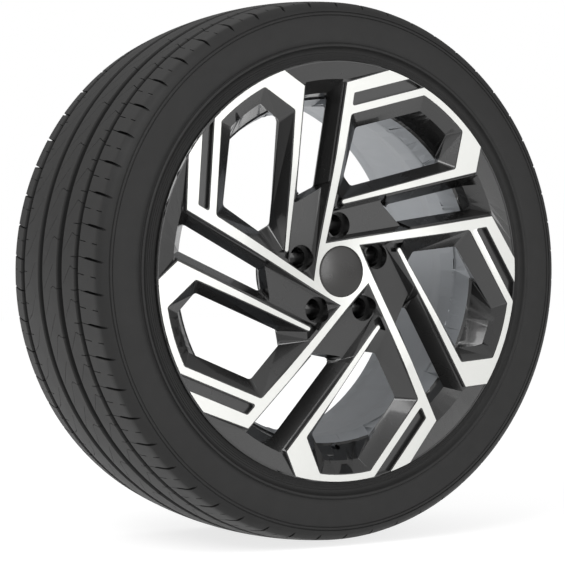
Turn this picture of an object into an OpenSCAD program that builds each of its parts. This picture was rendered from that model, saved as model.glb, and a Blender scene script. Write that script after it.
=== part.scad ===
// Wheel and tyre assembly: a cast rim with five hooked double spokes, a road tyre seated on it,
// and a snap-in centre cap with its wire spring ring.
// The axle runs along Y. The outer face looks towards -Y, and the origin is the wheel's centre.

/* [Rim] */
// Diameter of the bead seats
seat_d = 482.6; // [457.2:25.4:508]
// Width between the flanges' inner faces
rim_w = 241.3; // [228.6:12.7:254]
// Height of a flange above its bead seat
flange_h = 17.5; // [16:0.5:19]
// Thickness of a flange, from its inner face to the rim's edge
flange_t = 12.5; // [11.5:0.1:14]
// Width of a bead seat, from flange to hump
seat_w = 20.3; // [19:0.1:22]
// Height of the hump that keeps the bead on its seat
hump_h = 1.2; // [0.8:0.1:1.6]
// Depth of the well below the bead seats
well_depth = 26; // [24:0.5:27]
// Thickness of the barrel's wall
wall_t = 8; // [6.5:0.5:9]

/* [Spokes] */
// Number of hooked spokes
hooks = 5; // [5]
// Angle of the first spoke's elbow round the axle
elbow_angle = 161.8; // [140:0.1:180]
// Distance of the elbow's outer corner from the flange's edge
elbow_in = 26.4; // [24:0.2:29]
// Angle between the prongs and the radius at the elbow
prong_turn = 75.6; // [74:0.1:77]
// Extra lean of the outer prong's outer edge
outer_lean = 1.7; // [1:0.1:2.5]
// Width of the main bar at the elbow
bar_w = 14.4; // [13:0.1:16]
// Width of the outer prong at the elbow
outer_prong_w = 16.6; // [15:0.1:18]
// Width of the blind slot between the prongs
slot_w = 13.1; // [12:0.1:14]
// Width of the inner prong
inner_prong_w = 11.3; // [10:0.1:12.5]
// Depth of the blind slot
slot_depth = 6; // [4:0.5:8]
// Width of the machined band along the rim
band_w = 11; // [10:0.5:12]
// Width of a finger at its round tip
tip_w = 7; // [6:0.5:8]
// Distance of the finger's tip from the wheel's centre
tip_r = 85; // [82:1:88]
// Height of the machined lands above the painted face
land_h = 0.8; // [0.6:0.1:1]
// Width of the painted edge round the lands
edge_w = 1.2; // [0.8:0.1:1.6]
// Depth of the spokes at the rim, from face to back
spoke_depth = 46; // [44:1:48]

/* [Windows] */
// Inset of the window's flank under the main bar
bar_flank = 18.7; // [17:0.1:20]
// Inset of the window's flank under the inner prong
prong_flank = 17.5; // [16:0.1:19]
// Inset of the window's flank under the rim's band
band_flank = 15.5; // [14:0.5:17]
// Inset of the window's flank under the wide end
end_flank = 16; // [14:0.5:17]
// Inset of the window's flank under the finger
finger_flank = 11; // [9:0.5:12]
// Distance of a big window's inner end from the wheel's centre
window_in = 114; // [112:1:118]
// Distance of a narrow window's inner end from the wheel's centre
gap_in = 107; // [105:1:110]
// Inset of the narrow window's flank under the main bar
gap_bar_flank = 10.5; // [9:0.5:12]
// Inset of the narrow window's flank under the finger
gap_finger_flank = 14.5; // [12:0.5:15]
// Distance of a narrow window's outer end from the wheel's centre
gap_out = 217; // [215:1:220]

/* [Hub] */
// Offset of the mounting face from the rim's middle, towards the outer face
offset = 45; // [42:1:48]
// Diameter of the mounting pad
pad_d = 150; // [148:1:156]
// Diameter of the hub bore
bore_d = 67.1; // [66:0.1:68]
// Length of the hub bore's land
bore_l = 18; // [14:1:22]
// Diameter of the circle of wheel bolts
bolt_circle = 114.3; // [112:0.1:115]
// Diameter of a bolt hole
bolt_hole = 14; // [12.5:0.5:15]
// Diameter of a lug pocket
pocket_d = 32; // [30:0.5:33]
// Depth of a lug pocket down to its guide ring
pocket_l = 14; // [10:1:20]
// Diameter of the guide ring below the pocket
guide_d = 27; // [26:0.5:28]
// Depth of the lug pads below the rim's edge
pad_depth = 15.5; // [14.5:0.5:17]
// Depth of the face at the cap, below the rim's edge
dish = 11; // [10:0.5:12]
// Material left under a bolt's seat
seat_t = 14; // [13:0.5:16]
// Diameter of the valve hole
valve_d = 11.4; // [11.2:0.1:11.8]
// Angle of the valve hole round the axle
valve_angle = 267.5; // [266:0.5:269]

/* [Cap] */
// Diameter of the cap's face
cap_d = 63; // [61:0.5:64]
// Clearance round the cap's face
cap_gap = 0.3; // [0.2:0.05:0.5]
// Thickness of the cap's rim
cap_t = 3; // [2.5:0.1:3.5]
// Rise of the cap's low dome
dome = 3; // [2:0.5:4]
// Diameter of the throat that the legs snap through
throat_d = 56; // [54:0.5:57]
// Length of the throat
throat_l = 12; // [10:0.5:14]
// Number of snap legs
legs = 8; // [6:1:9]
// Thickness of a leg
leg_t = 2; // [1.8:0.1:2.4]
// Reach of a leg's barb behind the throat
barb = 1.1; // [0.8:0.1:1.3]
// Diameter of the spring ring's wire
wire_d = 1.8; // [1.6:0.1:2]

/* [Tyre] */
// Outer diameter of the tyre
tyre_d = 678; // [670:1:686]
// Section width of the tyre
tyre_w = 248; // [244:1:250]
// Width of the tread between its shoulders
tread_w = 220; // [214:1:224]
// Drop of the tread's shoulders below the crown
crown_drop = 8; // [6:0.5:10]
// Width of the three inner tread grooves
groove_w = 11; // [9:0.5:12]
// Width of the outer tread groove
outer_groove_w = 9.5; // [8:0.5:11]
// Depth of the tread grooves
groove_depth = 7; // [6:0.5:8]
// Thickness under the grooves
under_tread = 9; // [8:0.5:10]
// Thickness of the sidewall
side_t = 9; // [8:0.5:10]
// Height of the ridges on the sidewall
ridge_h = 0.8; // [0.5:0.1:1]
// Clearance between the beads and the rim
bead_gap = 0.1; // [0.05:0.05:0.2]

/* [Hidden] */
$fn = 96;

// Overall sizes of the rim. Depths are measured inwards from the rim's outer edge
half_w = rim_w/2 + flange_t;
full_w = 2*half_w;
seat_r = seat_d/2;
flange_r = seat_r + flange_h;
well_r = seat_r - well_depth;
inner_r = well_r - wall_t;
lip_r = flange_r - 2.6;
step = 360/hooks;
hub_face = half_w - offset;
above = 5;
dish_r = 150;
steps = 3;

function polar(r, a) = [r*cos(a), r*sin(a)];
function turned(p, a) = [p[0]*cos(a) - p[1]*sin(a), p[0]*sin(a) + p[1]*cos(a)];
function unit(v) = v/norm(v);
function left_of(v) = [-v[1], v[0]];
function reversed(list) = [for (i = [len(list) - 1:-1:0]) list[i]];
// Depth of the machined face: flat outside, dished towards the cap
function face(r) = r > dish_r ? 0 : dish*pow((1 - r/dish_r)/(1 - cap_d/2/dish_r), 1.3);
// Crossing of the line through p along u with the line through q along w
function crossing(p, u, q, w) =
    p + u*((q[0] - p[0])*w[1] - (q[1] - p[1])*w[0])/(u[0]*w[1] - u[1]*w[0]);
// Point at radius r on the line through p along u, on the side that u looks to
function at_radius(p, u, r) = let (m = p*u) p + u*(sqrt(max(m*m - p*p + r*r, 0)) - m);
// The corner at b between a and c, rounded with radius r in n steps
function rounded(a, b, c, r, n) =
    let (
        u = unit(a - b),
        w = unit(c - b),
        half = acos(u*w)/2,
        cut = min(r/tan(half), 0.45*norm(a - b), 0.45*norm(c - b)),
        centre = b + unit(u + w)*cut/cos(half),
        start = b + u*cut - centre,
        side = (u[0]*w[1] - u[1]*w[0]) > 0 ? -1 : 1
    )
    [for (i = [0:n]) centre + turned(start, side*(180 - 2*half)*i/n)];
// Points between p and q on a circle round the axle, the ends left out
function between(p, q, n) =
    let (a = atan2(p[1], p[0]), b = atan2(q[1], q[0]), r = (norm(p) + norm(q))/2)
    [for (i = [1:n - 1]) polar(r, a + (b - a)*i/n)];

// Lines and corners of the machined face for the first hook
elbow = polar(flange_r - elbow_in, elbow_angle);
star = polar(42, elbow_angle + 31.7);
last_star = turned(star, step);
bar_dir = unit(last_star - elbow);
prong_dir = polar(1, elbow_angle - prong_turn);
outer_dir = polar(1, elbow_angle - prong_turn + outer_lean);
across = -left_of(prong_dir);
slot_out = elbow + across*outer_prong_w;
slot_in = slot_out + across*slot_w;
window_side = slot_in + across*inner_prong_w;
bar_in = elbow + left_of(bar_dir)*bar_w;
window_elbow = crossing(window_side, prong_dir, bar_in, bar_dir);
edge_dir = unit(window_elbow - star);
band_r = flange_r - band_w;
band_end = polar(band_r, elbow_angle - 44.3);
finger_root = polar(flange_r - 50.7, elbow_angle - 51.2);
end_dir = unit(finger_root - band_end);
end_in = polar(flange_r - 26.1, elbow_angle - 57.4);
tip = polar(tip_r, elbow_angle + 2.4);
finger_dir = unit((finger_root + end_in)/2 - tip);
tip_centre = tip + finger_dir*tip_w/2;
tip_left = tip_centre + left_of(finger_dir)*tip_w/2;
tip_right = tip_centre - left_of(finger_dir)*tip_w/2;
left_dir = unit(finger_root - tip_left);
right_dir = unit(end_in - tip_right);
mid_dir = unit(left_dir + edge_dir);
// The next hook's outer edges, which bound this hook's narrow window
next_elbow = turned(elbow, -step);
next_bar = turned(bar_dir, -step);
next_outer = turned(outer_dir, -step);

// Rings of points at one depth, at one depth a point, or on the painted face
function at_depth(ring, d) = [for (p = ring) [p[0], p[1], half_w - d]];
function at_depths(ring, d) = [for (i = [0:len(ring) - 1]) [ring[i][0], ring[i][1], half_w - d[i]]];
function on_face(ring) = [for (p = ring) [p[0], p[1], half_w - land_h - face(norm(p))]];

// A closed solid through rings of equal length, clockwise seen from outside, the highest first
module loft(rings) {
    n = len(rings[0]);
    last = (len(rings) - 1)*n;
    points = [for (ring = rings) each reversed(ring)];
    faces = concat(
        [for (i = [1:n - 2]) [0, i + 1, i]],
        [for (j = [0:len(rings) - 2]) for (i = [0:n - 1])
            let (a = j*n + i, b = j*n + (i + 1)%n) each [[a, b + n, a + n], [a, b, b + n]]],
        [for (i = [1:n - 2]) [last, last + i, last + i + 1]]
    );
    polyhedron(points = points, faces = faces);
}

// Outline of a big window: its sides moved out by e and in by the share k of their flanks,
// its outer side at radius r, its inner end square to the corner's middle line through inner
function window_ring(e, k, r, inner, round) =
    let (
        a = window_side + left_of(prong_dir)*(e - prong_flank*k),
        b = finger_root + left_of(end_dir)*(e - end_flank*k),
        d = tip_left - left_of(left_dir)*(e - finger_flank*k),
        f = star + left_of(edge_dir)*(e - bar_flank*k),
        c = [
            crossing(f, edge_dir, a, prong_dir),
            at_radius(a, prong_dir, r),
            at_radius(b, -end_dir, r),
            crossing(b, end_dir, d, left_dir),
            crossing(d, left_dir, inner, left_of(mid_dir)),
            crossing(f, edge_dir, inner, left_of(mid_dir))
        ],
        arc = between(c[1], c[2], 6)
    )
    concat(
        rounded(c[5], c[0], c[1], round[0], steps),
        rounded(c[0], c[1], arc[0], round[1], steps),
        arc,
        rounded(arc[4], c[2], c[3], round[2], steps),
        rounded(c[2], c[3], c[4], round[3], steps),
        rounded(c[3], c[4], c[5], round[4], steps),
        rounded(c[4], c[5], c[0], round[4], steps)
    );
// Depths for the points of that ring from the depths of its six corners
function spread(d) = concat(
    [for (i = [0:steps]) d[0]],
    [for (i = [0:steps]) d[1]],
    [for (i = [1:5]) d[1]*(6 - i)/6 + d[2]*i/6],
    [for (j = [2:5]) for (i = [0:steps]) d[j]]
);
tip_end = tip_left - mid_dir*2;
window_end = polar(window_in, elbow_angle - 8.6);
ledge = band_r - band_flank;
face_round = [5, 3, 4, 4, 0.8];
deep_round = [6, 3, 3, 5, 6];
// Where the paint ends and the bare barrel begins
bare_r = inner_r + 5.8;
bare_depth = 38.5;

module big_window() {
    face_ring = window_ring(0, 0, band_r, tip_end, face_round);
    loft([
        at_depth(face_ring, -above),
        on_face(face_ring),
        at_depths(window_ring(0, 1, ledge, window_end, deep_round), spread([18.5, 10, 10, 16.6, 28, 26])),
        at_depth(window_ring(0, 1.02, bare_r + 3, window_end, deep_round), 36),
        at_depth(window_ring(0, 1.03, bare_r, window_end, deep_round), bare_depth),
        at_depth(window_ring(0, 1.05, inner_r - 0.5, window_end, deep_round), 62),
        at_depth(window_ring(0, 1.07, inner_r - 3, window_end, deep_round), hub_face)
    ]);
}

// The narrow window beyond the lug pad, between the finger and the next main bar
function strip(e, k, r_out, r_in) =
    let (
        b = star + left_of(next_bar)*(e - gap_bar_flank*k),
        f = tip_right + left_of(right_dir)*(e - gap_finger_flank*k)
    )
    [at_radius(b, -next_bar, r_in), at_radius(b, -next_bar, r_out), at_radius(f, right_dir, r_out),
        at_radius(f, right_dir, r_in)];
function strip_ring(k, r_out, r_in, round) =
    let (c = strip(0, k, r_out, r_in))
    reversed(concat(
        rounded(c[3], c[0], c[1], round, steps),
        [c[1]],
        between(c[1], c[2], 4),
        [c[2]],
        rounded(c[2], c[3], c[0], round, steps)
    ));

module narrow_window() {
    face_ring = strip_ring(0, norm(end_in) - 1, gap_in - 2, 0.5);
    loft([
        at_depth(face_ring, -above),
        on_face(face_ring),
        at_depth(strip_ring(1, gap_out, gap_in + 1, 5), 30),
        at_depth(strip_ring(1.04, bare_r, gap_in + 1, 5), bare_depth),
        at_depth(strip_ring(1.08, inner_r - 0.5, gap_in + 1, 5), 62),
        at_depth(strip_ring(1.1, inner_r - 3, gap_in + 1, 5), hub_face)
    ]);
}

// The hopper between the next outer prong, the rim's lip and the wide end, above the narrow window
function flare_corners(e, r) =
    let (
        a = next_elbow - left_of(next_outer)*e,
        c = end_in - left_of(end_dir)*e
    )
    [
        crossing(a, next_outer, star + left_of(next_bar)*e, next_bar),
        at_radius(a, next_outer, r),
        at_radius(c, -end_dir, r),
        crossing(c, end_dir, tip_right + left_of(right_dir)*e, right_dir)
    ];

module flare() {
    c = flare_corners(0, lip_r);
    top = concat([c[0], c[1]], between(c[1], c[2], 8), [c[2], c[3]]);
    s = strip(0, 1, gap_out - 4, gap_in);
    s1 = polar(gap_out, atan2(s[1][1], s[1][0]) - 0.5);
    s2 = polar(gap_out, atan2(s[2][1], s[2][0]) + 0.5);
    bottom = concat([s[1], s1], between(s1, s2, 8), [s2, s[2]]);
    loft([
        at_depth(reversed(top), -above),
        at_depth(reversed(top), land_h + 0.8),
        at_depth(reversed(bottom), 30)
    ]);
}

// The sunk pad round the lug pocket
function pad_ring(k, r) =
    let (
        low = star + left_of(edge_dir)*(-4.5*k),
        b = star + left_of(next_bar)*(-5*k),
        f = tip_right + left_of(right_dir)*(-6.5*k),
        q = crossing(f, right_dir, low, edge_dir),
        v = crossing(low, edge_dir, b, next_bar),
        p = at_radius(b, -next_bar, r),
        o = at_radius(f, right_dir, r)
    )
    reversed(concat(rounded(q, v, p, 2 + 2*k, steps), [p, o, q]));

module lug_pad() {
    loft([
        at_depth(pad_ring(0, gap_in + 6), -above),
        on_face(pad_ring(0, gap_in + 6)),
        at_depth(pad_ring(1, gap_in + 6), pad_depth)
    ]);
}

// The gap round the finger's free tip, its outline moved out by e
function tip_outline(e, q) =
    let (
        turn = atan2(finger_dir[1], finger_dir[0]),
        low = star + left_of(edge_dir)*q,
        arc = [for (i = [0:8]) tip_centre + polar(tip_w/2 - e, turn - 90 - i*22.5)]
    )
    concat(
        [arc[0] + right_dir*0.5],
        arc,
        [arc[8] + left_dir*0.5 - left_of(mid_dir)*(-6)],
        [crossing(arc[8], left_of(edge_dir), low, edge_dir) + edge_dir*6],
        [crossing(arc[0], right_dir, low, edge_dir) - edge_dir*3],
        [arc[0] + unit(-next_bar)*0 - left_of(right_dir)*4 - right_dir*2]
    );

module tip_gap() {
    translate([0, 0, half_w - pad_depth])
    linear_extrude(pad_depth + above)
        polygon(tip_outline(0, -3));
}

function slot_corners(e, r) =
    let (
        a = slot_out + left_of(prong_dir)*e,
        b = slot_in - left_of(prong_dir)*e,
        low = bar_in - left_of(bar_dir)*e
    )
    [
        crossing(a, prong_dir, low, bar_dir),
        at_radius(a, prong_dir, r),
        at_radius(b, prong_dir, r),
        crossing(b, prong_dir, low, bar_dir)
    ];
function slot_outline(e, r) =
    let (c = slot_corners(e, r))
    concat(
        rounded(c[3], c[0], c[1], 2.5, steps),
        [c[1]],
        between(c[1], c[2], 3),
        [c[2]],
        rounded(c[2], c[3], c[0], 2.5, steps)
    );

module blind_slot() {
    translate([0, 0, half_w - slot_depth])
    linear_extrude(slot_depth + above)
        polygon(slot_outline(0, lip_r));
}

// Everything that the lands leave free in one fifth, each cut widened by the painted edge
module land_gaps() {
    c = flare_corners(edge_w, flange_r + 4);
    s = strip(edge_w, 0, 200, gap_in);
    v = crossing(star + left_of(edge_dir)*edge_w, edge_dir, star + left_of(next_bar)*edge_w, next_bar);
    q = crossing(tip_right + left_of(right_dir)*edge_w, right_dir, v, edge_dir);
    polygon(window_ring(edge_w, 0, band_r + edge_w, tip_end, face_round));
    polygon(concat([c[0], c[1]], between(c[1], c[2], 8), [c[2], c[3]]));
    polygon([v, c[0], c[3], q]);
    polygon(tip_outline(edge_w, edge_w));
    polygon(slot_outline(edge_w, flange_r + 4));
}

function face_points(d) =
    let (r0 = cap_d/2 + cap_gap)
    [for (i = [0:10]) let (r = r0 + (dish_r - r0)*i/10) [r, half_w - face(r) - d]];

// The machined lands, all cut by the same turned face
module lands() {
    intersection() {
        rotate_extrude()
            polygon(concat(
                face_points(0),
                [[flange_r - 1.6, half_w], [flange_r - 1.6, half_w - 2.5]],
                reversed(face_points(2.5))
            ));
        translate([0, 0, half_w - 30])
        linear_extrude(40)
            difference() {
                circle(flange_r - 1);
                for (k = [0:hooks - 1])
                    rotate(k*step)
                    land_gaps();
            }
    }
}

// Half section of rim, barrel, disc and hub, as radius and height
module wheel_section() {
    well_out = flange_t + seat_w + 24;
    well_in = well_out + 44;
    rise = well_in + 34;
    in_hump = full_w - flange_t - seat_w;
    polygon([for (p = concat(
        // painted face
        [for (q = face_points(land_h)) [q[0], half_w - q[1]]],
        // outer flange, bead seat and hump
        [[flange_r - 1.2, land_h], [flange_r, land_h + 1.2], [flange_r, 5]],
        [for (i = [1:4]) [flange_r - 7 + 7*cos(i*22.5), flange_t - 7.5 + 7.5*sin(i*22.5)]],
        [[seat_r + 3, flange_t], [seat_r, flange_t + 3], [seat_r - 1, flange_t + seat_w - 3]],
        [[seat_r + hump_h, flange_t + seat_w], [seat_r + hump_h, flange_t + seat_w + 3]],
        // drop to the well, its floor and the long rise inwards
        [[seat_r - 6, flange_t + seat_w + 8], [well_r + 3, well_out - 4], [well_r, well_out]],
        [[well_r, well_in], [well_r + 3, well_in + 5], [seat_r - 12, rise], [seat_r - 5, rise + 30]],
        // inner hump, seat and flange
        [[seat_r - 3, in_hump - 6], [seat_r + hump_h, in_hump - 3], [seat_r + hump_h, in_hump]],
        [[seat_r - 1, in_hump + 3], [seat_r, full_w - flange_t - 3], [seat_r + 3, full_w - flange_t]],
        [for (i = [4:-1:1]) [flange_r - 7 + 7*cos(i*22.5), full_w - flange_t + 7.5 - 7.5*sin(i*22.5)]],
        [[flange_r, full_w - 5], [flange_r, full_w - 1.2], [flange_r - 1.2, full_w]],
        // inside of the barrel, with its two turned ridges
        [[flange_r - 11, full_w], [flange_r - 14, full_w - 4], [seat_r - wall_t, full_w - 14]],
        [[seat_r - wall_t, in_hump - 2], [seat_r - wall_t - 3, in_hump - 8]],
        [[seat_r - 12 - wall_t, rise], [inner_r + 2, well_in + 2], [inner_r, well_in - 6]],
        [[inner_r, 68], [inner_r - 1.5, 66], [inner_r - 1.5, 62], [inner_r, 60], [inner_r, spoke_depth + 8]],
        // back of the disc and the mounting pad
        [[inner_r - 8, spoke_depth], [160, 50], [112, 56], [92, 66], [pad_d/2 + 5, hub_face - 6]],
        [[pad_d/2, hub_face - 1], [pad_d/2 - 1, hub_face]],
        // hub bore with its chamfer, the cavity, the cap's throat and seat
        [[bore_d/2 + 2, hub_face], [bore_d/2, hub_face - 2], [bore_d/2, hub_face - bore_l]],
        [[throat_d/2 + 3, hub_face - bore_l], [throat_d/2 + 3, dish + cap_t + throat_l + 2]],
        [[throat_d/2, dish + cap_t + throat_l], [throat_d/2, dish + cap_t + 1.5]],
        [[throat_d/2 + 1.5, dish + cap_t], [cap_d/2 + cap_gap, dish + cap_t]]
    )) [p[0], half_w - p[1]]]);
}

// One bolt's pocket, guide ring, conical seat and hole
module lug_hole() {
    seat = hub_face - seat_t;
    cone = (guide_d/2 - 0.5 - bolt_hole/2)/tan(30);
    translate([bolt_circle/2, 0, half_w]) {
        translate([0, 0, -pad_depth - pocket_l])
            cylinder(d = pocket_d, h = 40);
        translate([0, 0, -seat])
            cylinder(d = guide_d, h = 60);
        translate([0, 0, -seat - cone])
            cylinder(d1 = bolt_hole, d2 = guide_d - 1, h = cone + 0.01);
        translate([0, 0, -hub_face - 1])
            cylinder(d = bolt_hole, h = 40);
    }
}

// What is drawn along Z, outwards up, is laid along the axle
module on_axle() {
    rotate([90, 0, 0])
        children();
}

module wheel() {
    color("#8c8d90")
    on_axle()
    difference() {
        union() {
            difference() {
                rotate_extrude()
                    wheel_section();
                for (k = [0:hooks - 1])
                    rotate(k*step) {
                        big_window();
                        narrow_window();
                        flare();
                        lug_pad();
                        tip_gap();
                        blind_slot();
                    }
            }
            lands();
        }
        for (k = [0:hooks - 1])
            rotate(elbow_angle + 1.2 + k*step)
            lug_hole();
        // the hole for the valve, square to the drop of the well
        rotate(valve_angle)
        translate([seat_r - 12, 0, half_w - flange_t - seat_w + 2])
        rotate([0, -28, 0])
            cylinder(d = valve_d, h = 40, center = true);
    }
}

// Radius of the tread at height h from its middle line, and of the liner below it
function crown(h) = tyre_d/2 - crown_drop*pow(2*h/tread_w, 2);
// Middle lines of the four grooves, the outer one first
groove_at = [0.32, 0.135, -0.09, -0.325]*tread_w;
groove_ws = [outer_groove_w, groove_w, groove_w, groove_w];

// Outline of one side, as radius and height, from the bead's toe over the sidewall to the shoulder
function side_points() =
    let (
        h = tyre_w/2,
        f = half_w - flange_t - bead_gap,
        g = half_w - 5
    )
    concat(
        [[seat_r - 0.6, f - 17], [seat_r + bead_gap, f - 3], [seat_r + 3 + bead_gap, f]],
        [for (i = [4:-1:1])
            [flange_r - 7 + (7 + bead_gap)*cos(i*22.5), g - (7.5 + bead_gap)*sin(i*22.5)]],
        // recess beside the rim, then the rib that guards the flange
        [[flange_r + 1, g - 2], [flange_r + 5, h + 0.6], [flange_r + 11, h + 0.4]],
        [[flange_r + 16.5, h + 2.6], [flange_r + 19, h + 2.6], [flange_r + 22, h + 0.6]],
        [[flange_r + 30, h], [flange_r + 39, h - 0.4], [flange_r + 47, h - 2], [flange_r + 53.4, h - 4.2]],
        // two fine rings below the shoulder
        [[flange_r + 54, h - 4.4 + ridge_h], [flange_r + 55.2, h - 4.9 + ridge_h], [flange_r + 55.8, h - 5.3]],
        [[flange_r + 57.6, h - 6], [flange_r + 58.2, h - 6.3 + ridge_h], [flange_r + 59.4, h - 6.9 + ridge_h]],
        [[flange_r + 60, h - 7.3], [flange_r + 64.5, h - 9.6], [crown(tread_w/2) - 4, tread_w/2 + 2.6]],
        [[crown(tread_w/2) - 1.2, tread_w/2 + 0.9]]
    );
// The tread from one shoulder to the other with its grooves
function tread_points() = concat(
    [[crown(tread_w/2), tread_w/2 - 0.8], [crown(tread_w*0.42), tread_w*0.42]],
    [for (j = [0:3]) let (c = groove_at[j], w = groove_ws[j]/2) each [
        [crown(c + w), c + w],
        [crown(c) - groove_depth, c + w - 2.2],
        [crown(c) - groove_depth, c - w + 2.2],
        [crown(c - w), c - w],
        each j < 3 ? [[crown((c + groove_at[j + 1])/2), (c + groove_at[j + 1])/2]] : []
    ]],
    [[crown(tread_w*0.42), -tread_w*0.42], [crown(tread_w/2), -tread_w/2 + 0.8]]
);
// The liner, from the inner bead's toe round to the outer one's
function liner_points(s) =
    let (
        h = tyre_w/2 - side_t,
        under = groove_depth + under_tread
    )
    [
        [seat_r + 6, s*(half_w - flange_t - 17.3)],
        [flange_r - 2, s*(h - 8)],
        [flange_r + 10, s*(h - 2)],
        [flange_r + 26, s*h],
        [flange_r + 38, s*(h - 2)],
        [crown(tread_w*0.45) - under - 6, s*(h - 8)],
        [crown(tread_w*0.4) - under, s*tread_w*0.4],
        [crown(tread_w*0.2) - under, s*tread_w*0.2]
    ];

module tyre() {
    color("#3a3a3a")
    on_axle()
    rotate_extrude()
        polygon(concat(
            side_points(),
            tread_points(),
            reversed([for (p = side_points()) [p[0], -p[1]]]),
            liner_points(-1),
            [[crown(0) - groove_depth - under_tread, 0]],
            reversed(liner_points(1))
        ));
}

// Depths of the cap's seat and of the wire ring
cap_seat = dish + cap_t;
ring_depth = cap_seat + throat_l - 1;
leg_r = throat_d/2 - 0.2;
ring_r = leg_r - leg_t + 0.5 - wire_d/2;

module centre_cap() {
    // Height of the low dome at radius r
    function domed(r) = dome*(1 - pow(r/(cap_d/2 - 1), 2));
    color("#1c1c1e")
    on_axle()
    union() {
        rotate_extrude()
            polygon([for (p = concat(
                [for (i = [0:8]) let (r = (cap_d/2 - 1)*i/8) [r, dish - domed(r)]],
                [[cap_d/2, dish + 0.6], [cap_d/2, cap_seat], [leg_r - leg_t - 1, cap_seat]],
                [[leg_r - leg_t - 2, dish + 1.5], [0, dish - dome + 2]]
            )) [p[0], half_w - p[1]]]);
        for (k = [0:legs - 1])
            rotate(k*360/legs)
            rotate_extrude(angle = 26)
                polygon([for (p = [
                    [leg_r - leg_t, cap_seat - 1],
                    [leg_r, cap_seat - 1],
                    [leg_r, cap_seat + throat_l + 0.4],
                    [leg_r + barb, cap_seat + throat_l + barb + 0.6],
                    [leg_r + barb, cap_seat + throat_l + barb + 1.4],
                    [leg_r - 0.4, cap_seat + throat_l + 4.5],
                    [leg_r - leg_t, cap_seat + throat_l + 4.5],
                    [leg_r - leg_t, ring_depth + wire_d/2 + 0.1],
                    [leg_r - leg_t + 0.6, ring_depth + wire_d/2 + 0.1],
                    [leg_r - leg_t + 0.6, ring_depth - wire_d/2 - 0.1],
                    [leg_r - leg_t, ring_depth - wire_d/2 - 0.1]
                ]) [p[0], half_w - p[1]]]);
    }
}

module cap_spring_ring() {
    color("#a0a3a6")
    on_axle()
    translate([0, 0, half_w - ring_depth])
    rotate(5)
    rotate_extrude(angle = 352)
        translate([ring_r, 0])
        circle(d = wire_d);
}

wheel();
tyre();
centre_cap();
cap_spring_ring();
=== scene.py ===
import bmesh
import bpy
import numpy as np
from mathutils import Matrix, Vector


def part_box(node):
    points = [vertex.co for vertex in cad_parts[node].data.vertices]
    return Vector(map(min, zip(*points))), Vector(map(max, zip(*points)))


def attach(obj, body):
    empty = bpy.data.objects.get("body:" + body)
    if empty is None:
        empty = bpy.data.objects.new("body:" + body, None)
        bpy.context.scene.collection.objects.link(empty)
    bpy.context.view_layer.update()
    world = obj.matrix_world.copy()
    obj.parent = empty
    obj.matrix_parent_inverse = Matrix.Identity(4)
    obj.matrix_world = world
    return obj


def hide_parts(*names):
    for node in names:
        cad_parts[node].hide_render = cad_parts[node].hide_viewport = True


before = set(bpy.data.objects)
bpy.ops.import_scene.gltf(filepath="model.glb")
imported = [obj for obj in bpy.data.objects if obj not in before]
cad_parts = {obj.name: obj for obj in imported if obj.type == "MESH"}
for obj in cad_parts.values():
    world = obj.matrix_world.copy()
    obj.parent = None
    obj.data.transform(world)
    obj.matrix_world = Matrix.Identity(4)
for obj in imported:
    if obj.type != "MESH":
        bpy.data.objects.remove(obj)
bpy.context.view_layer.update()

# The studio: a white sweep under a wheel that stands on its tread, one large soft box high on the
# left, weaker ones on the right and in front, and a pale world, as in a catalogue picture. RIM_EDGE is
# how far the rim's outer edge lies before the wheel's middle, in m.
RIM_EDGE = 0.13315
FOCAL_LENGTH, PICTURE_SIDE = 2008.2, 565
view_az, view_el = np.radians(-30.51), np.radians(0.80)
eye_distance, eye_right, eye_up = 2.4588, -0.0778, -0.0134
back = np.array([np.sin(view_az) * np.cos(view_el), -np.cos(view_az) * np.cos(view_el), np.sin(view_el)])
right = np.array([np.cos(view_az), np.sin(view_az), 0.0])
up = np.cross(back, right)
eye = eye_distance * back + eye_right * right + eye_up * up - np.array([0.0, RIM_EDGE, 0.0])

camera = bpy.data.objects.new("camera", bpy.data.cameras.new("camera"))
bpy.context.scene.collection.objects.link(camera)
camera.data.sensor_width = 36.0
camera.data.lens = FOCAL_LENGTH / PICTURE_SIDE * camera.data.sensor_width
camera.data.clip_end = 50.0
camera.matrix_world = Matrix([[*row, 0.0] for row in np.column_stack([right, up, back])] + [[0, 0, 0, 1]])
camera.location = eye
bpy.context.scene.camera = camera
bpy.context.scene.view_settings.view_transform = "Standard"


def soft_box(name, place, width, height, power):
    """A rectangular lamp at place whose face looks at the wheel's middle."""
    lamp = bpy.data.objects.new(name, bpy.data.lights.new(name, "AREA"))
    lamp.data.shape = "RECTANGLE"
    lamp.data.size, lamp.data.size_y, lamp.data.energy = width, height, power
    away = np.array(place) / np.linalg.norm(place)
    side = np.cross([0.0, 0.0, 1.0], away)
    side /= np.linalg.norm(side)
    lamp.matrix_world = Matrix([[*row, 0.0] for row in np.column_stack([side, np.cross(away, side), away])]
                               + [[0, 0, 0, 1]])
    lamp.location = place
    bpy.context.scene.collection.objects.link(lamp)


soft_box("key_box", (-2.6, -1.6, 2.6), 2.4, 2.0, 90)
soft_box("fill_box", (2.4, -3.2, 1.2), 2.0, 2.4, 13)
soft_box("front_box", (0.72, -3.3, 0.4), 0.7, 1.5, 22)


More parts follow.
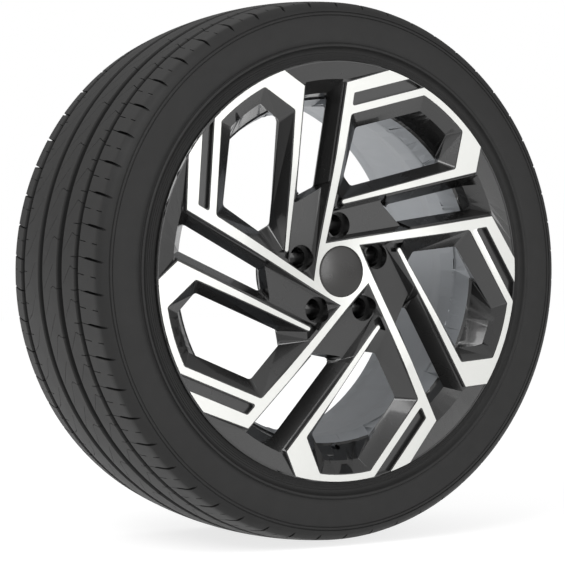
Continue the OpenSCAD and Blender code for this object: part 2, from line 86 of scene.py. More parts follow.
class Socket:
    """One output of a shader graph, on which + - * / and the reflected forms add Math nodes."""

    def __init__(self, graph, out):
        self.graph, self.out = graph, out

    def math(self, operation, *values):
        return self.graph.node("ShaderNodeMath", {"operation": operation}, self, *values)

    def __add__(self, other):
        return self.math("ADD", other)

    def __radd__(self, other):
        return self.math("ADD", other)

    def __sub__(self, other):
        return self.math("SUBTRACT", other)

    def __rsub__(self, other):
        return self.graph.node("ShaderNodeMath", {"operation": "SUBTRACT"}, other, self)

    def __mul__(self, other):
        return self.math("MULTIPLY", other)

    def __rmul__(self, other):
        return self.math("MULTIPLY", other)

    def __truediv__(self, other):
        return self.math("DIVIDE", other)

    def ramp(self, low, high, start=0.0, end=1.0):
        return self.graph.node("ShaderNodeMapRange", {"clamp": True}, self, low, high, start, end)

    def __getitem__(self, name):
        return Socket(self.graph, self.out.node.outputs[name])


class Finish:
    """A material or a world: node() adds any node from its type, settings and sockets' values or links."""

    def __init__(self, name, world=False):
        self.owner = (bpy.data.worlds if world else bpy.data.materials).new(name)
        self.owner.use_nodes = True
        self.tree = self.owner.node_tree
        self.tree.nodes.clear()

    def node(self, kind, settings=None, *values, **named):
        made = self.tree.nodes.new(kind)
        for key, value in (settings or {}).items():
            setattr(made, key, value)
        for key, value in list(enumerate(values)) + [(k.replace("_", " "), v) for k, v in named.items()]:
            if isinstance(value, Socket):
                self.tree.links.new(value.out, made.inputs[key])
            elif value is not None:
                made.inputs[key].default_value = value
        return Socket(self, made.outputs[0]) if made.outputs else made

    def surface(self, **sockets):
        shader = self.node("ShaderNodeBsdfPrincipled", None, **sockets)
        self.node("ShaderNodeOutputMaterial", None, Surface=shader)
        return self.owner


def studio_floor():
    """A flat pale floor that shows as white and keeps the wheel's soft shadow."""
    paper = Finish("white_sweep")
    lit = paper.node("ShaderNodeBsdfDiffuse", None, Color=(1, 1, 1, 1))
    white = paper.node("ShaderNodeEmission", None, Color=(1, 1, 1, 1), Strength=1.25)
    rays = paper.node("ShaderNodeLightPath")
    share = (rays["Is Camera Ray"] * 0.62).math("MAXIMUM", rays["Is Glossy Ray"] * 0.75)
    mixed = paper.node("ShaderNodeMixShader", None, share, lit, white)
    paper.node("ShaderNodeOutputMaterial", None, Surface=mixed)
    mesh = bpy.data.meshes.new("floor")
    half, ground = 8.0, float(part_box("tyre")[0].z)
    corners = [(-half, -half, ground), (half, -half, ground), (half, half, ground), (-half, half, ground)]
    mesh.from_pydata(corners, [], [(0, 1, 2, 3)])
    mesh.materials.append(paper.owner)
    floor = bpy.data.objects.new("floor", mesh)
    bpy.context.scene.collection.objects.link(floor)


studio_floor()


def studio_room():
    """White where the camera looks, bright before the wheel and above it, dimmer at the sides."""
    room = Finish("studio", world=True)
    bpy.context.scene.world = room.owner
    way = room.node("ShaderNodeSeparateXYZ", None, room.node("ShaderNodeTexCoord")["Generated"])
    front, top = way["Y"].ramp(-0.3, -0.85), way["Z"].ramp(0.4, 0.9)
    dim = 0.31 + 0.42 * front + 0.38 * top
    seen = room.node("ShaderNodeLightPath")["Is Camera Ray"]
    light = seen + (1.0 - seen) * dim
    glow = room.node("ShaderNodeBackground", None, (1, 1, 1, 1), light)
    room.node("ShaderNodeOutputWorld", None, Surface=glow)


studio_room()


# The tyre: 678 mm across and 258 mm wide, of matt black rubber. Four grooves, darkened by painted shade,
# part the tread; hooked hair-line sipes cross the ribs, tear-drop cuts the outer shoulder and open cross
# grooves the inner one, 54 to the round. Fine raised rings run on the sidewall and a rib guards the rim.
# Sizes are in mm; bead, guard, wall and liner are (radius, height) and grooves (height, width).
TYRE_RADIUS, CROWN_DROP, TREAD_HALF = 339.0, 8.0, 114.0
TREAD_ROUND, COLUMNS = 2 * np.pi * TYRE_RADIUS, 648
BEAD = [(240.7, 103.55), (241.4, 117.55), (244.4, 120.55), (251.8, 120.55), (254.5, 121.1),
        (256.8, 122.8), (258.4, 125.2), (259.8, 125.0)]
GUARD = [(261.4, 124.2), (269.0, 124.6), (272.5, 126.2), (274.4, 129.2), (275.0, 131.0), (275.6, 131.5),
         (277.6, 131.5), (278.2, 131.0), (278.6, 129.0), (279.4, 128.6), (280.4, 129.2)]
WALL = [(286.0, 129.4), (296.0, 129.3), (305.0, 128.7), (311.0, 127.9), (312.9, 127.5), (313.2, 126.9),
        (313.8, 126.8), (314.1, 127.6), (314.5, 128.0), (316.4, 127.8), (316.8, 127.3), (317.0, 126.4),
        (318.0, 126.1), (318.3, 127.0), (319.2, 126.9)]
LINER = [(247.3, 103.3), (256.8, 111.0), (268.8, 117.0), (284.8, 120.0), (296.8, 118.0), (311.0, 112.0),
         (316.5, 95.0), (321.5, 50.0)]
GROOVES, GROOVE_DEPTH, GROOVE_DRAFT = [(75.0, 10.5), (33.1, 15.0), (-21.0, 15.0), (-82.1, 15.0)], 7, 2.2


def section_line(points):
    """A line in the (r, h) plane as functions of its length w: r(w), h(w) and its outward normal.

    The normal is (dh/dw, -dr/dw), smoothed by central differences over the points."""
    points = np.array(points, float)
    w = np.append(0, np.cumsum(np.hypot(*np.diff(points, axis=0).T)))
    slope = np.gradient(points, w, axis=0)
    normal = slope[:, ::-1] * (1, -1)
    normal /= np.linalg.norm(normal, axis=1)[:, None]
    return lambda at: np.column_stack([np.interp(at, w, v) for v in (*points.T, *normal.T)]), w


def cut_rows(t, cuts, repeats):
    """Places round the tread and depths below it, both in mm, of all columns at shares t of a rib.

    A cut is (share, rise, half width, depth) rows. Its four columns stand at -1, -0.6, 0.6 and 1 half
    widths from its middle line, the two inner ones at its depth; the rest share the land beyond."""
    rise, half, deep = (np.stack([np.interp(t, c[:, 0], c[:, i]) for c in map(np.array, cuts)], 1)
                        for i in (1, 2, 3))
    period = TREAD_ROUND / repeats
    middle = (rise[:, None] + period * np.arange(repeats)[:, None]).reshape(len(t), -1)
    half, deep = np.tile(half, repeats), np.tile(deep, repeats)
    left, right = middle - half, middle + half
    gap = np.append(left[:, 1:], left[:, :1] + TREAD_ROUND, 1) - right
    spare = COLUMNS // middle.shape[1] - 4
    places = [left, middle - 0.6 * half, middle + 0.6 * half, right]
    places += [right + gap * j / (spare + 1) for j in range(1, spare + 1)]
    depths = [0 * deep, deep, deep] + [0 * deep] * (spare + 1)
    return np.stack(places, 2).reshape(len(t), -1), np.stack(depths, 2).reshape(len(t), -1)


def crown(h):
    """The tread's radius at height h: 339 mm in its middle and 8 mm less, 114 mm to its side."""
    return TYRE_RADIUS - CROWN_DROP * (h / TREAD_HALF) ** 2


def tyre_blocks():
    """The section from bead to bead in blocks of rows (r, h, normal r, normal h).

    A block of the tread has the places and depths of its columns too, the others have None. A rib's
    table holds its rows' shares of its width, the cuts to the round and each cut's course."""
    tread = [(crown(h), h) for h in np.arange(0, 113, 4.0)]
    tread += [(320.2 + 10.8 * np.sin(b) ** 1.5, TREAD_HALF + 12.3 * np.cos(b) ** 1.5)
              for b in np.radians(np.arange(84, -1, -7))]
    line, lengths = section_line(tread)
    edge = lengths[-1]
    ribs = [
        # outer shoulder: tear-drop with its thin root, dashes half a pitch on
        ([0, .1, .2, .26, .27, .33, .42, .53, .54, .63, .73, .74, .85, .9, .94, 1], 54,
         [[(0, -20, .55, 3), (.26, -21.9, .55, 3), (.27, -22, .3, 0), (.53, -23.9, .3, 0),
           (.54, -24, .55, 3), (.73, -25.4, .55, 3), (.74, -25.5, .3, 0), (1, -27.4, .3, 0)],
          [(0, .5, .45, 3.5), (.24, -1.8, .45, 3.5), (.33, -2.0, 1.5, 5), (.54, -3.6, 1.7, 5),
           (.73, -5.3, 1.6, 4), (.85, -6.6, 1.5, 1.6), (.94, -7.2, .5, 0), (1, -7.5, .5, 0)]]),
        # third rib: hooked sipe, nick in line with the tear-drop
        ([0, .05, .11, .25, .375, .5, .6, .68, .72, .78, .89, 1], 54,
         [[(0, -36, .4, 0), (.05, -34.3, .4, 0), (.11, -32, .4, 1.2), (.375, -23, .45, 2.5),
           (.68, -11.8, .45, 2.5), (.72, -11.4, .45, 2.5), (.78, -12, .45, 2.5), (1, -14.6, .45, 2.5)],
          [(0, -16.5, .4, 0), (.5, -5, .4, 0), (.72, 0, .4, 0), (.78, 0, .5, 2.5), (1, -.6, .5, 2.5)]]),
        # second rib: long sipes, every other one with a hook
        ([0, .05, .12, .25, .37, .47, .56, .63, .69, .735, .8, .91, 1], 36,
         [[(0, -43.5, .4, 0), (.05, -41, .4, 0), (.12, -38.3, .4, 1.5), (.41, -26.5, .42, 2.3),
           (.69, -13.5, .42, 1.8), (.8, -9, .4, 0), (1, -7, .4, 0)],
          [(0, -14, .4, 0), (.05, -11.5, .4, 0), (.12, -8.8, .4, 1.5), (.37, 3.6, .42, 2.3),
           (.56, 17.2, .42, 2.3), (.63, 21.3, .42, 2.3), (.735, 23.6, .42, 2.3), (.91, 21.3, .42, 2.3),
           (1, 20.3, .42, 2.3)]]),
        # first rib: sipe that fades near the groove, dash half a pitch on
        ([0, .05, .14, .2, .21, .35, .43, .51, .64, .76, .82, 1], 54,
         [[(0, -41.3, .4, 0), (.05, -40, .4, 0), (.14, -37.7, .4, 1), (.35, -33, .42, 2),
           (.51, -25.3, .42, 2.3), (.76, -10, .42, 2), (.82, -7, .4, 0), (1, -4, .4, 0)],
          [(0, -18.4, .5, 2.5), (.2, -19, .5, 2.5), (.21, -18.5, .4, 0), (.5, -6, .4, 0), (1, 16, .4, 0)]]),
        # inner shoulder: cross groove that runs out over the edge, dashes half a pitch on
        ([0, .14, .15, .29, .38, .39, .5, .6, .61, .8, .92, 1], 54,
         [[(0, -43, .9, 3.5), (.29, -41.2, 1.2, 5), (.65, -37.7, 1.5, 5.5), (.92, -34, 1.6, 5),
           (1, -33, 1.6, 3)],
          [(0, -20, .5, 2.5), (.14, -18.8, .5, 2.5), (.15, -18.7, .4, 0), (.38, -16.5, .4, 0),
           (.39, -16.5, .5, 2.5), (.6, -16, .5, 2.5), (.61, -16, .4, 0), (1, -14.3, .4, 0)]]),
    ]
    ends = [edge] + [e for c, g in GROOVES for e in (c + g / 2, c - g / 2)] + [-edge]
    ends = np.interp(np.abs(ends), np.array(tread)[:, 1], lengths) * np.sign(ends)
    ends[[0, -1]] = edge, -edge

    blocks = [(np.array([(r, h, 1, 0) for r, h in BEAD + GUARD + WALL]), None, None)]
    for i, (t, repeats, cuts) in enumerate(ribs):
        high, low = ends[2 * i], ends[2 * i + 1]
        inner_shoulder = i == len(GROOVES)
        t = np.array(t, float) if inner_shoulder else np.array(t, float)[::-1]
        at = high + (low - high) * t if inner_shoulder else low + (high - low) * t
        rows = line(np.abs(at)) * np.where(at < 0, -1, 1)[:, None] ** np.array([0, 1, 0, 1])
        places, depths = cut_rows(t, cuts, repeats)
        if i > 0:
            c, g = GROOVES[i - 1]
            rows = np.insert(rows, 0, (crown(c) - GROOVE_DEPTH, c - g / 2 + GROOVE_DRAFT, 1, 0), axis=0)
            places, depths = np.insert(places, 0, places[0], axis=0), np.insert(depths, 0, 0, axis=0)
        if not inner_shoulder:
            c, g = GROOVES[i]
            rows = np.append(rows, [(crown(c) - GROOVE_DEPTH, c + g / 2 - GROOVE_DRAFT, 1, 0)], axis=0)
            places = np.append(places, places[-1:], axis=0)
            depths = np.append(depths, 0 * depths[-1:], axis=0)
        blocks.append((rows, places, depths))
    inner_wall = BEAD + GUARD[::2] + WALL[:3] + [(312.9, 127.5), (316.4, 127.4)]
    hidden = [(r, -h) for r, h in inner_wall[::-1] + LINER] + [(323.0, 0)] + LINER[::-1]
    blocks.append((np.array([(r, h, 1, 0) for r, h in hidden]), None, None))
    return blocks


def tyre_mesh():
    """One closed skin: rows round the section times 648 columns round the axle.

    A point at radius r, height h and angle a lies at (-r cos a, -h, r sin a). Where two blocks meet,
    the second starts from the column that lies nearest to the first one's."""
    plain = np.arange(COLUMNS) * TREAD_ROUND / COLUMNS
    sections, turns, depths, last = [], [], [], plain
    for rows, places, depth in tyre_blocks():
        if places is None:
            places, depth = np.tile(plain, (len(rows), 1)), np.zeros((len(rows), COLUMNS))
        shift = round((last.mean() - places[0].mean()) / (TREAD_ROUND / COLUMNS))
        k = np.arange(COLUMNS) + shift
        places = places[:, k % COLUMNS] + TREAD_ROUND * (k // COLUMNS)
        sections.append(rows)
        turns.append(places)
        depths.append(depth[:, k % COLUMNS])
        last = places[-1]
    section, turn, depth = (np.concatenate(v) for v in (sections, turns, depths))
    r = section[:, :1] - depth * section[:, 2:3]
    h = section[:, 1:2] - depth * section[:, 3:4]
    a = turn / TYRE_RADIUS + np.radians(3.2)
    points = np.stack([-r * np.cos(a), np.broadcast_to(-h, r.shape), r * np.sin(a)], 2).reshape(-1, 3) / 1000
    n, m = r.shape
    i, j = np.meshgrid(np.arange(n), np.arange(m), indexing="ij")
    beside = (j + 1) % m
    first = np.where(i == n - 1, (j + shift) % m, (i + 1) * m + j)
    second = np.where(i == n - 1, (beside + shift) % m, (i + 1) * m + beside)
    faces = np.stack([i * m + j, first, second, i * m + beside], 2).reshape(-1, 4)
    return points, faces[:, ::-1]


def rubber():
    """Carbon black rubber; painted shade darkens the grooves and cuts, fine rings stand beside the rim."""
    skin = Finish("tyre_rubber")
    place = skin.node("ShaderNodeTexCoord")["Object"]
    axes = skin.node("ShaderNodeSeparateXYZ", None, place)
    x, y, z = axes["X"], axes["Y"], axes["Z"]
    r = (x * x + z * z).math("SQRT")
    across = y / (TREAD_HALF / 1000)
    # Painted shade: how far the surface lies below the tread's crown, 0.6 to 3 mm, marks the grooves and
    # cuts.
    painted_groove_shade = (TYRE_RADIUS / 1000 - CROWN_DROP / 1000 * (across * across) - r).ramp(0.0006, 0.003)
    tread = y.math("ABSOLUTE").ramp(0.112, 0.119, 1.0, 0.0)
    mottle = skin.node("ShaderNodeTexNoise", None, Vector=place, Scale=60.0, Detail=4.0)
    grain = skin.node("ShaderNodeTexNoise", None, Vector=place, Scale=900.0, Detail=2.0)
    # The tread is a lighter grey than the sidewalls; painted shade darkens it by up to 92 % in its grooves
    # and cuts.
    tone = (0.011 + 0.019 * tread + 0.004 * mottle) * (1.0 - 0.92 * (painted_groove_shade * tread))
    colour = skin.node("ShaderNodeCombineColor", None, tone, tone * 0.99, tone * 0.98)
    rings = ((r - 0.2626) * 2416.0).math("SINE")
    beside = (r - 0.2652).math("ABSOLUTE").ramp(0.0038, 0.0042, 1.0, 0.0)
    height = rings * beside * 0.00025 + grain * 0.00006
    normal = skin.node("ShaderNodeBump", None, Strength=0.8, Distance=1.0, Height=height)
    return skin.surface(Base_Color=colour, Roughness=0.62 - 0.06 * mottle, Normal=normal,
                        Specular_IOR_Level=0.28)


def tyre():
    """The tyre's skin takes the place of the solid and lies on the rim's bead seats."""
    points, faces = tyre_mesh()
    mesh = bpy.data.meshes.new("tyre_skin")
    mesh.from_pydata(points, [], faces)
    mesh.polygons.foreach_set("use_smooth", np.ones(len(faces), bool))
    mesh.set_sharp_from_angle(angle=np.radians(38))
    mesh.materials.append(rubber())
    made = bpy.data.objects.new("tyre_skin", mesh)
    bpy.context.scene.collection.objects.link(made)
    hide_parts("tyre")
    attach(made, "root")


tyre()


# The wheel: one casting for a 19 by 9.5 inch rim. Its front is painted gloss black and its barrel is
# left in silver grey; the raised lands of the face are turned bright, so fine tool lines stay in them.
# Depths count from the rim's outer edge to the back. In mm.
LIP_RADIUS, BAND_RADIUS, DISH_RADIUS, CAP_SEAT, DISH_DEPTH = 256.2, 247.8, 150.0, 31.5, 11.0
BARREL_DEPTH, BARREL_RADIUS, BARE_DEPTH, BARE_RADIUS = 40.0, 195.0, 38.4, 200.0
LAND_TOLERANCE, EDGE_BREAK = 0.3, 0.3


def casting(name, node):
    """A copy of a CAD node with one vertex for each place, which rides on the wheel's body."""
    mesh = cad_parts[node].data.copy()
    mesh.name = name
    body = bmesh.new()
    body.from_mesh(mesh)
    bmesh.ops.remove_doubles(body, verts=body.verts, dist=1e-6)
    body.to_mesh(mesh)
    body.free()
    mesh.materials.clear()
    made = bpy.data.objects.new(name, mesh)
    bpy.context.scene.collection.objects.link(made)
    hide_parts(node)
    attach(made, "root")
    return made


def face_arrays(mesh):
    """Middles and normals of all faces, as two (n, 3) arrays."""
    arrays = []
    for what in ("center", "normal"):
        values = np.empty(3 * len(mesh.polygons))
        mesh.polygons.foreach_get(what, values)
        arrays.append(values.reshape(-1, 3))
    return arrays


def sharp_edges(mesh, degrees):
    """Which edges stay sharp when faces that meet at less than the given angle shade as one."""
    mesh.set_sharp_from_angle(angle=np.radians(degrees))
    sharp = np.empty(len(mesh.edges), bool)
    mesh.attributes["sharp_edge"].data.foreach_get("value", sharp)
    return sharp


def smooth_rounds(mesh, degrees, barrel_degrees):
    """Smooth shading, with its own limit for the edges inside the barrel, behind the spokes."""
    mesh.polygons.foreach_set("use_smooth", np.ones(len(mesh.polygons), bool))
    points, ends = np.empty(3 * len(mesh.vertices)), np.empty(2 * len(mesh.edges), np.int32)
    mesh.vertices.foreach_get("co", points)
    mesh.edges.foreach_get("vertices", ends)
    x, y, z = points.reshape(-1, 3)[ends.reshape(-1, 2)].mean(1).T
    deep = (y > BARREL_DEPTH / 1000 - RIM_EDGE) & (np.hypot(x, z) > BARREL_RADIUS / 1000)
    sharp = np.where(deep, sharp_edges(mesh, barrel_degrees), sharp_edges(mesh, degrees))
    mesh.attributes["sharp_edge"].data.foreach_set("value", sharp)


def applied(made):
    """Works a piece's modifiers into its mesh."""
    result = bpy.data.meshes.new_from_object(made.evaluated_get(bpy.context.evaluated_depsgraph_get()))
    made.modifiers.clear()
    made.data = result


def break_edges(made, width):
    """Melts the facets of flat faces together and breaks each sharp edge by width, in mm."""
    body = bmesh.new()
    body.from_mesh(made.data)
    bmesh.ops.dissolve_limit(body, angle_limit=np.radians(0.4), verts=body.verts, edges=body.edges)
    body.to_mesh(made.data)
    body.free()
    edge = made.modifiers.new("edge", "BEVEL")
    edge.width, edge.segments, edge.use_clamp_overlap = width / 1000, 1, True
    edge.limit_method, edge.angle_limit = "ANGLE", np.radians(28)
    applied(made)


def polar(r, degrees):
    """The point of the face at radius r and an angle from +X towards +Z, as a complex number."""
    return r * np.exp(1j * np.radians(degrees))


def unit(v):
    """The vector of length 1 in the direction of v."""
    return v / abs(v)


def crossing(p, u, q, w):
    """Where the line through p along u meets the line through q along w."""
    return p + u * ((q - p).conjugate() * w).imag / (u.conjugate() * w).imag


def at_radius(p, u, r):
    """The point at radius r on the line through p along u, on the side that u looks to."""
    m = (p.conjugate() * u).real
    return p + u * (np.sqrt(m * m - abs(p) ** 2 + r * r) - m)


def rounded(a, b, c, r):
    """Four points of an arc of radius r in the corner at b between a and c."""
    u, w = unit(a - b), unit(c - b)
    half = np.arccos((u.conjugate() * w).real) / 2
    cut = min(r / np.tan(half), 0.45 * abs(a - b), 0.45 * abs(c - b))
    centre = b + unit(u + w) * cut / np.cos(half)
    side = -1 if (u.conjugate() * w).imag > 0 else 1
    step = side * (np.pi - 2 * half) / 3
    return [centre + (b + u * cut - centre) * np.exp(1j * step * i) for i in range(4)]


def between(p, q, n):
    """The n - 1 points that part the arc from p to q round the axle into n steps."""
    a, b = np.angle(p), np.angle(p) + np.angle(q / p)
    return [(abs(p) + abs(q)) / 2 * np.exp(1j * (a + (b - a) * i / n)) for i in range(1, n)]


def dish(r):
    """How far the lands dip towards the hub: 11 mm at the cap's seat and none past 150 mm."""
    return DISH_DEPTH * np.clip((1 - r / DISH_RADIUS) / (1 - CAP_SEAT / DISH_RADIUS), 0, None) ** 1.3


# Corners and directions of the first hook's machined face, from the axle: its elbow at the rim, the
# star's point at the cap, the band that leaves for the rim, the finger's round tip and its two sides
ELBOW = polar(232.4, 161.8)
STAR = polar(42.0, 193.5)
TURN = polar(1, -72.0)
BAR = unit(STAR / TURN - ELBOW)
PRONG, OUTER = polar(1, 86.2), polar(1, 87.9)
WINDOW_SIDE = ELBOW - 1j * PRONG * 41.0
EDGE = unit(crossing(WINDOW_SIDE, PRONG, ELBOW + 1j * BAR * 14.4, BAR) - STAR)
BAND_END, FINGER_ROOT, END_IN = polar(BAND_RADIUS, 117.5), polar(208.1, 110.6), polar(232.7, 104.4)
END = unit(FINGER_ROOT - BAND_END)
TIP = polar(85.0, 164.2)
FINGER = unit((FINGER_ROOT + END_IN) / 2 - TIP)
TIP_LEFT, TIP_RIGHT = TIP + FINGER * 3.5 * (1 + 1j), TIP + FINGER * 3.5 * (1 - 1j)
LEFT, RIGHT = unit(FINGER_ROOT - TIP_LEFT), unit(END_IN - TIP_RIGHT)
MIDDLE = unit(LEFT + EDGE)


def window_ring(k, r, inner, rounds):
    """A big window's outline, its sides moved in by the share k of their flanks, rim side at radius r.

    inner is a point of its inmost side, and rounds are the radii of its corners."""
    bar = WINDOW_SIDE - 1j * PRONG * 17.5 * k
    root = FINGER_ROOT - 1j * END * 16.0 * k
    finger = TIP_LEFT + 1j * LEFT * 11.0 * k
    spoke = STAR - 1j * EDGE * 18.7 * k
    elbow, start, end = crossing(spoke, EDGE, bar, PRONG), at_radius(bar, PRONG, r), at_radius(root, -END, r)
    arc = between(start, end, 6)
    path = [elbow, start] + arc + [end, crossing(root, END, finger, LEFT),
                                   crossing(finger, LEFT, inner, 1j * MIDDLE),
                                   crossing(spoke, EDGE, inner, 1j * MIDDLE)]
    ring = rounded(path[-1], elbow, start, rounds[0]) + rounded(elbow, start, arc[0], rounds[1]) + arc
    for i, size in zip((7, 8, 9, 10), (rounds[2], rounds[3], rounds[4], rounds[4])):
        ring += rounded(path[i - 1], path[i], path[(i + 1) % 11], size)
    return np.array(ring)


def slit_ring(e, k, r_out, r_in, round_in):
    """A narrow window's outline, its sides moved out by e and in by the share k of their flanks."""
    bar = BAR * TURN
    spoke, finger = STAR + 1j * bar * (e - 10.5 * k), TIP_RIGHT + 1j * RIGHT * (e - 14.5 * k)
    inner, outer = at_radius(spoke, -bar, r_in), at_radius(spoke, -bar, r_out)
    far, near = at_radius(finger, RIGHT, r_out), at_radius(finger, RIGHT, r_in)
    return np.array(rounded(near, inner, outer, round_in) + [outer] + between(outer, far, 4) + [far]
                    + rounded(far, near, inner, round_in))


def band_ring(e, r):
    """The painted band's outline between two hooks, moved out by e and ending at radius r."""
    prong, bar = OUTER * TURN, BAR * TURN
    elbow, end = ELBOW * TURN - 1j * prong * e, END_IN - 1j * END * e
    start, stop = at_radius(elbow, prong, r), at_radius(end, -END, r)
    return np.array([crossing(elbow, prong, STAR + 1j * bar * e, bar), start] + between(start, stop, 8)
                    + [stop, crossing(end, END, TIP_RIGHT + 1j * RIGHT * e, RIGHT)])


def outward(points, faces):
    """The triangles of a closed solid, turned over where its volume would come out negative."""
    corner = points[faces]
    volume = (np.cross(corner[:, 0], corner[:, 1]) * corner[:, 2]).sum()
    return faces[:, ::-1] if volume < 0 else faces


def solid(rings, depths, copies=5):
    """Closed solids through rings of equal length, turned round the axle in equal steps.

    A point p of a ring at depth d behind the rim's edge lies at (re p, d - 133.15, im p)."""
    n, m = len(rings), len(rings[0])
    ring = np.array(rings)
    y = np.array([np.broadcast_to(d, m) for d in depths]) - 1000 * RIM_EDGE
    i, j = np.meshgrid(np.arange(n - 1), np.arange(m), indexing="ij")
    a, b = i * m + j, i * m + (j + 1) % m
    sides = np.stack([a, a + m, b + m, a, b + m, b], 2).reshape(-1, 3)
    fan = np.stack([np.zeros(m - 2, int), np.arange(1, m - 1), np.arange(2, m)], 1)
    turned = [ring * t for t in TURN ** np.arange(copies)]
    points = np.concatenate([np.stack([p.real, y, p.imag], 2).reshape(-1, 3) for p in turned]) / 1000
    faces = outward(points, np.concatenate([sides, fan, (n - 1) * m + fan[:, ::-1]]))
    return points, np.concatenate([faces + k * n * m for k in range(copies)])


def turned_ring(profile, count=192):
    """A closed ring that a profile of (radius, depth) points sweeps round the axle in count steps."""
    profile = np.array(profile)
    m = len(profile)
    ring = profile[:, 0] * polar(1, np.linspace(0, 360, count + 1)[:-1])[:, None]
    y = np.broadcast_to(profile[:, 1], (count, m)) - 1000 * RIM_EDGE
    i, j = np.meshgrid(np.arange(count), np.arange(m), indexing="ij")
    a, b, ahead = i * m + j, i * m + (j + 1) % m, (i + 1) % count * m
    faces = np.stack([a, ahead + j, ahead + (j + 1) % m, a, ahead + (j + 1) % m, b], 2).reshape(-1, 3)
    points = np.stack([ring.real, y, ring.imag], 2).reshape(-1, 3) / 1000
    return points, outward(points, faces)


def turned_piece(profile, start, sweep, count):
    """The part of such a ring from the angle start over sweep degrees."""
    profile = np.array(profile)
    angles = np.linspace(start, start + sweep, count + 1)
    return solid([profile[:, 0] * polar(1, a) for a in angles], [profile[:, 1]] * (count + 1), 1)


def drill(angle, r, depth, lean, steps):
    """A stepped drill of (diameter, start, end) steps along an axis that leans inwards to the front."""
    turn = np.radians(np.arange(0, 360, 7.5))
    rings, depths = [], []
    for diameter, start, end in steps:
        side, rise = diameter / 2 * np.cos(turn), diameter / 2 * np.sin(turn)
        for along in (start, end):
            radial = r - along * np.sin(lean) + rise * np.cos(lean)
            rings.append(polar(1, angle) * (radial + 1j * side))
            depths.append(depth - along * np.cos(lean) - rise * np.sin(lean))
    return solid(rings, depths, 1)


def work(made, operation, shape):
    """Adds a shape to a piece or cuts it out of it, in its mesh."""
    tool_mesh = bpy.data.meshes.new("tool")
    tool_mesh.from_pydata(shape[0], [], shape[1])
    tool = bpy.data.objects.new("tool", tool_mesh)
    bpy.context.scene.collection.objects.link(tool)
    step = made.modifiers.new("work", "BOOLEAN")
    step.operation, step.object, step.solver = operation, tool, "MANIFOLD"
    applied(made)
    bpy.data.objects.remove(tool)


def carve_wheel(made):
    """Gives the casting the shallow spokes, undercut windows and flat painted band of the real one.

    Every cut starts 5 mm ahead of the rim's edge, and a window's runs through to the hub's face."""
    ahead, upright, hub_face = -5, 0.8, 88.15

    # metal behind the narrow windows and the painted band, and the thick wall that the valve sits in
    work(made, "UNION", solid([slit_ring(2.5, 0, 236, 113.5, 0.5)] * 2, [4, 31]))
    outlines = [(2.5, 257), (2.5, 257), (8, 250), (12, 241.2), (12, 240.2), (12, 240)]
    work(made, "UNION", solid([band_ring(e, r) for e, r in outlines], [1.1, 6, 10, 13.5, 15.5, 31]))
    valve_wall = [(225, 20), (240, 20), (240, 33), (241.5, 35.5), (234.9, 40.5), (217.9, 52.5),
                  (214.9, 56.5), (208, 56.5), (208, 45), (214, 35)]
    work(made, "UNION", turned_piece(valve_wall, 261, 12, 12))

    # the painted band, 1.6 mm deep at the rim and 5 mm deep where it ends above a narrow window
    work(made, "DIFFERENCE", solid([band_ring(0, LIP_RADIUS)] * 2 + [band_ring(0, 235.8)], [ahead, 1.6, 5]))

    # the narrow windows, then the big ones: an upright wall under the lands' edge, flanks that close in
    # as far as the spokes are widest, and room behind them as far as the hub's face
    slit = slit_ring(0, 0, 235.8, 105, 0.5)
    rings = [slit, slit, slit_ring(0, 5 / 24, 235.8, 106, 1.5), slit_ring(0, 1, 220, 108, 5)]
    rings += [slit_ring(0, 0.5, r, 108, 5) for r in (216, 213.1, 206.8, 204.3)]
    depths = [ahead, upright + dish(abs(slit)), 5, 24, 36, 38.5, 62, hub_face]
    work(made, "DIFFERENCE", solid(rings, depths))
    window = window_ring(0, BAND_RADIUS, TIP_LEFT - MIDDLE * 2, (5, 3, 4, 4, 0.8))
    inner, rounds = polar(114.0, 153.2), (6, 3, 3, 5, 6)
    widest = np.interp(np.arange(len(window)), [0, 3, 4, 7, 13, 16, 17, 20, 21, 24, 25, 28],
                       [18.5, 18.5, 10, 10, 10, 10, 16.6, 16.6, 26, 26, 25, 25])
    rings = [window, window, window_ring(1, 232.3, inner, rounds)]
    rings += [window_ring(0.5, r, inner, rounds) for r in (216.1, 213.1, 206.8, 204.3)]
    depths = [ahead, upright + dish(abs(window)), widest, 36, 38.5, 62, hub_face]
    work(made, "DIFFERENCE", solid(rings, depths))

    # the spokes' back, from the barrel's wall in to the hub, and the valve's hole with its round seat
    spoke_back = [(207.3, 40), (199.3, 30), (109, 32), (99, 36), (85, 64.15), (80.6, 80), (83.5, 79.5),
                  (93.5, 67.5), (113, 58), (160, 51.5), (199.3, 47.5), (207.3, 56)]
    work(made, "DIFFERENCE", turned_ring(spoke_back))
    work(made, "DIFFERENCE", drill(271.5, 218.1, 33.0, np.radians(45), [(18, -35, -5), (11.4, -5, 20)]))


def turned_face():
    """Bright turned aluminium: fine tool lines round the axle, under clear lacquer."""
    metal = Finish("turned_lands")
    place = metal.node("ShaderNodeTexCoord")["Object"]
    axes = metal.node("ShaderNodeSeparateXYZ", None, place)
    r = (axes["X"] * axes["X"] + axes["Z"] * axes["Z"]).math("SQRT")
    lines = metal.node("ShaderNodeTexNoise", {"noise_dimensions": "1D"}, W=r * 2600.0, Detail=2.0)
    cloud = metal.node("ShaderNodeTexNoise", None, Vector=place, Scale=9.0, Detail=3.0)
    tone = 0.55 + 0.05 * lines + 0.05 * cloud
    colour = metal.node("ShaderNodeCombineColor", None, tone, tone * 1.005, tone * 0.97)
    normal = metal.node("ShaderNodeBump", None, Strength=0.25, Distance=1.0, Height=lines * 0.00003)
    return metal.surface(Base_Color=colour, Metallic=0.85, Roughness=0.34 + 0.1 * lines, Normal=normal,
                         Coat_Weight=0.4, Coat_Roughness=0.08)


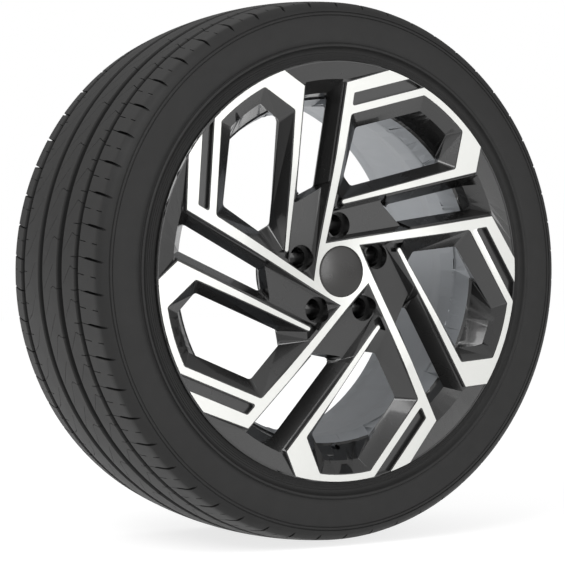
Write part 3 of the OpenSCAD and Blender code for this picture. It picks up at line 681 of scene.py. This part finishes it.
def black_paint():
    """Gloss black enamel with a faint orange peel."""
    paint = Finish("gloss_black_paint")
    place = paint.node("ShaderNodeTexCoord")["Object"]
    peel = paint.node("ShaderNodeTexNoise", None, Vector=place, Scale=420.0, Detail=2.0)
    cloud = paint.node("ShaderNodeTexNoise", None, Vector=place, Scale=14.0, Detail=3.0)
    tone = 0.004 + 0.004 * cloud
    colour = paint.node("ShaderNodeCombineColor", None, tone, tone * 0.98, tone * 0.97)
    normal = paint.node("ShaderNodeBump", None, Strength=0.3, Distance=1.0, Height=peel * 0.00004)
    return paint.surface(Base_Color=colour, Roughness=0.22 + 0.1 * cloud, Normal=normal,
                         Coat_Weight=0.6, Coat_Roughness=0.06)


def barrel_silver():
    """Silver grey base coat over the cast and turned barrel, with faint rings from the lathe."""
    coat = Finish("barrel_silver")
    place = coat.node("ShaderNodeTexCoord")["Object"]
    axes = coat.node("ShaderNodeSeparateXYZ", None, place)
    rings = coat.node("ShaderNodeTexNoise", {"noise_dimensions": "1D"}, W=axes["Y"] * 900.0, Detail=3.0)
    flake = coat.node("ShaderNodeTexNoise", None, Vector=place, Scale=1500.0, Detail=1.0)
    tone = 0.30 + 0.10 * rings + 0.06 * flake
    colour = coat.node("ShaderNodeCombineColor", None, tone * 0.96, tone, tone * 1.05)
    normal = coat.node("ShaderNodeBump", None, Strength=0.3, Distance=1.0, Height=rings * 0.00008)
    return coat.surface(Base_Color=colour, Metallic=0.7, Roughness=0.42 + 0.12 * rings, Normal=normal)


def wheel():
    """The carved casting: its lands are turned bright, its barrel behind the spokes is silver."""
    made = casting("wheel_casting", "wheel")
    carve_wheel(made)
    made.data.materials.clear()
    break_edges(made, EDGE_BREAK)
    smooth_rounds(made.data, 10, 26)
    middle, normal = face_arrays(made.data)
    r = 1000 * np.hypot(middle[:, 0], middle[:, 2])
    depth = 1000 * (middle[:, 1] + RIM_EDGE)
    lands = (abs(depth - dish(r)) < LAND_TOLERANCE) & (normal[:, 1] < -0.9) & (r < LIP_RADIUS - 0.5)
    bare = (depth > BARE_DEPTH) & (r > BARE_RADIUS)
    for finish in (black_paint(), turned_face(), barrel_silver()):
        made.data.materials.append(finish)
    kind = np.select([lands, bare], [1, 2], 0).astype(np.int32)
    made.data.polygons.foreach_set("material_index", kind)


wheel()


# The centre cap and its spring: a low satin black dome moulded with a ring of snap legs, which a
# ring of bent steel wire presses outwards into the wheel's bore. Both keep their solids' form.
def cap_plastic():
    """Satin black moulded plastic with a fine spark-eroded grain."""
    plastic = Finish("cap_satin_black")
    place = plastic.node("ShaderNodeTexCoord")["Object"]
    grain = plastic.node("ShaderNodeTexNoise", None, Vector=place, Scale=1200.0, Detail=2.0)
    cloud = plastic.node("ShaderNodeTexNoise", None, Vector=place, Scale=40.0, Detail=2.0)
    tone = 0.011 + 0.006 * cloud
    colour = plastic.node("ShaderNodeCombineColor", None, tone * 1.08, tone, tone * 0.94)
    normal = plastic.node("ShaderNodeBump", None, Strength=0.4, Distance=1.0, Height=grain * 0.00003)
    return plastic.surface(Base_Color=colour, Roughness=0.24 + 0.08 * cloud, Normal=normal)


def spring_steel():
    """Drawn steel wire, bright with faint lengthwise streaks."""
    steel = Finish("spring_steel")
    place = steel.node("ShaderNodeTexCoord")["Object"]
    streak = steel.node("ShaderNodeTexNoise", None, Vector=place, Scale=300.0, Detail=3.0)
    tone = 0.42 + 0.16 * streak
    colour = steel.node("ShaderNodeCombineColor", None, tone, tone * 0.99, tone * 0.97)
    return steel.surface(Base_Color=colour, Metallic=1.0, Roughness=0.28 + 0.15 * streak)


for name, node, slot, finish in (("cap_moulding", "centre_cap", "cap_plastic", cap_plastic()),
                                 ("wire_ring", "cap_spring_ring", "spring_wire", spring_steel())):
    piece = casting(name, node)
    smooth_rounds(piece.data, 24, 24)
    piece.data.materials.append(finish)
